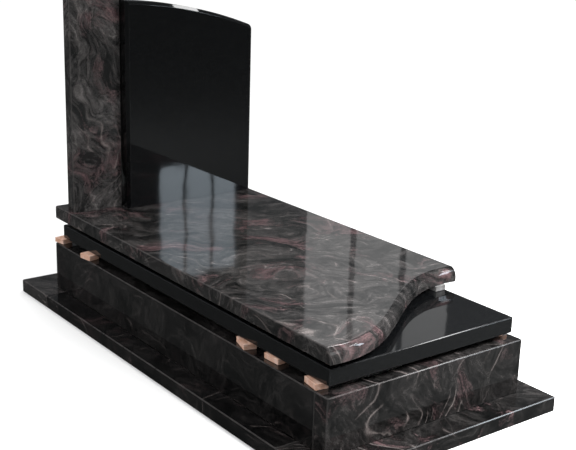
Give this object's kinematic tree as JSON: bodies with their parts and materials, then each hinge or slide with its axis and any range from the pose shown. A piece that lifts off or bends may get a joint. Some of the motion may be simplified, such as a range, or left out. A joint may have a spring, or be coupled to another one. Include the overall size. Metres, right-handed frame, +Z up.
{
  "type": "grave monument",
  "caption": "Full grave monument in polished granite: base frame, kerb, black cover slab, ledger with a wave-cut end, arched headstone and a taller side pillar.",
  "frame": {"origin": "on the ground, under the middle of the base frame", "axes": "+Y along the grave towards the headstone, +X to the right as seen from the foot of the grave, +Z up"},
  "size_m": [1, 2.028, 1.32],
  "materials": {
    "veined_granite": "polished dark grey granite with mauve clouds and thin pale veins",
    "black_granite": "mirror-polished fine-grained black granite",
    "pale_timber": "rough-sawn pinkish tan offcuts of batten",
    "grey_timber": "weathered grey offcuts of batten"
  },
  "bodies": {
    "root": {"base_front_strip": "veined_granite", "base_back_strip": "veined_granite", "base_left_strip": "veined_granite", "base_right_strip": "veined_granite", "kerb_front": "veined_granite", "kerb_left": "veined_granite", "kerb_right": "veined_granite", "kerb_back": "veined_granite", "timber_left_back": "pale_timber", "timber_left_rear": "pale_timber", "timber_left_middle": "pale_timber", "timber_left_front": "pale_timber", "timber_left_corner": "pale_timber", "timber_right_back": "pale_timber", "timber_right_rear": "pale_timber", "timber_right_middle": "pale_timber", "timber_right_front": "pale_timber", "timber_right_corner": "pale_timber", "cover_slab": "black_granite", "ledger_block_front_left": "grey_timber", "ledger_block_front_right": "grey_timber", "ledger_block_middle_left": "grey_timber", "ledger_block_middle_right": "grey_timber", "ledger_block_back_left": "grey_timber", "ledger_block_back_right": "grey_timber", "ledger": "veined_granite", "headstone": "black_granite", "pillar": "veined_granite"}
  },
  "joints": []
}
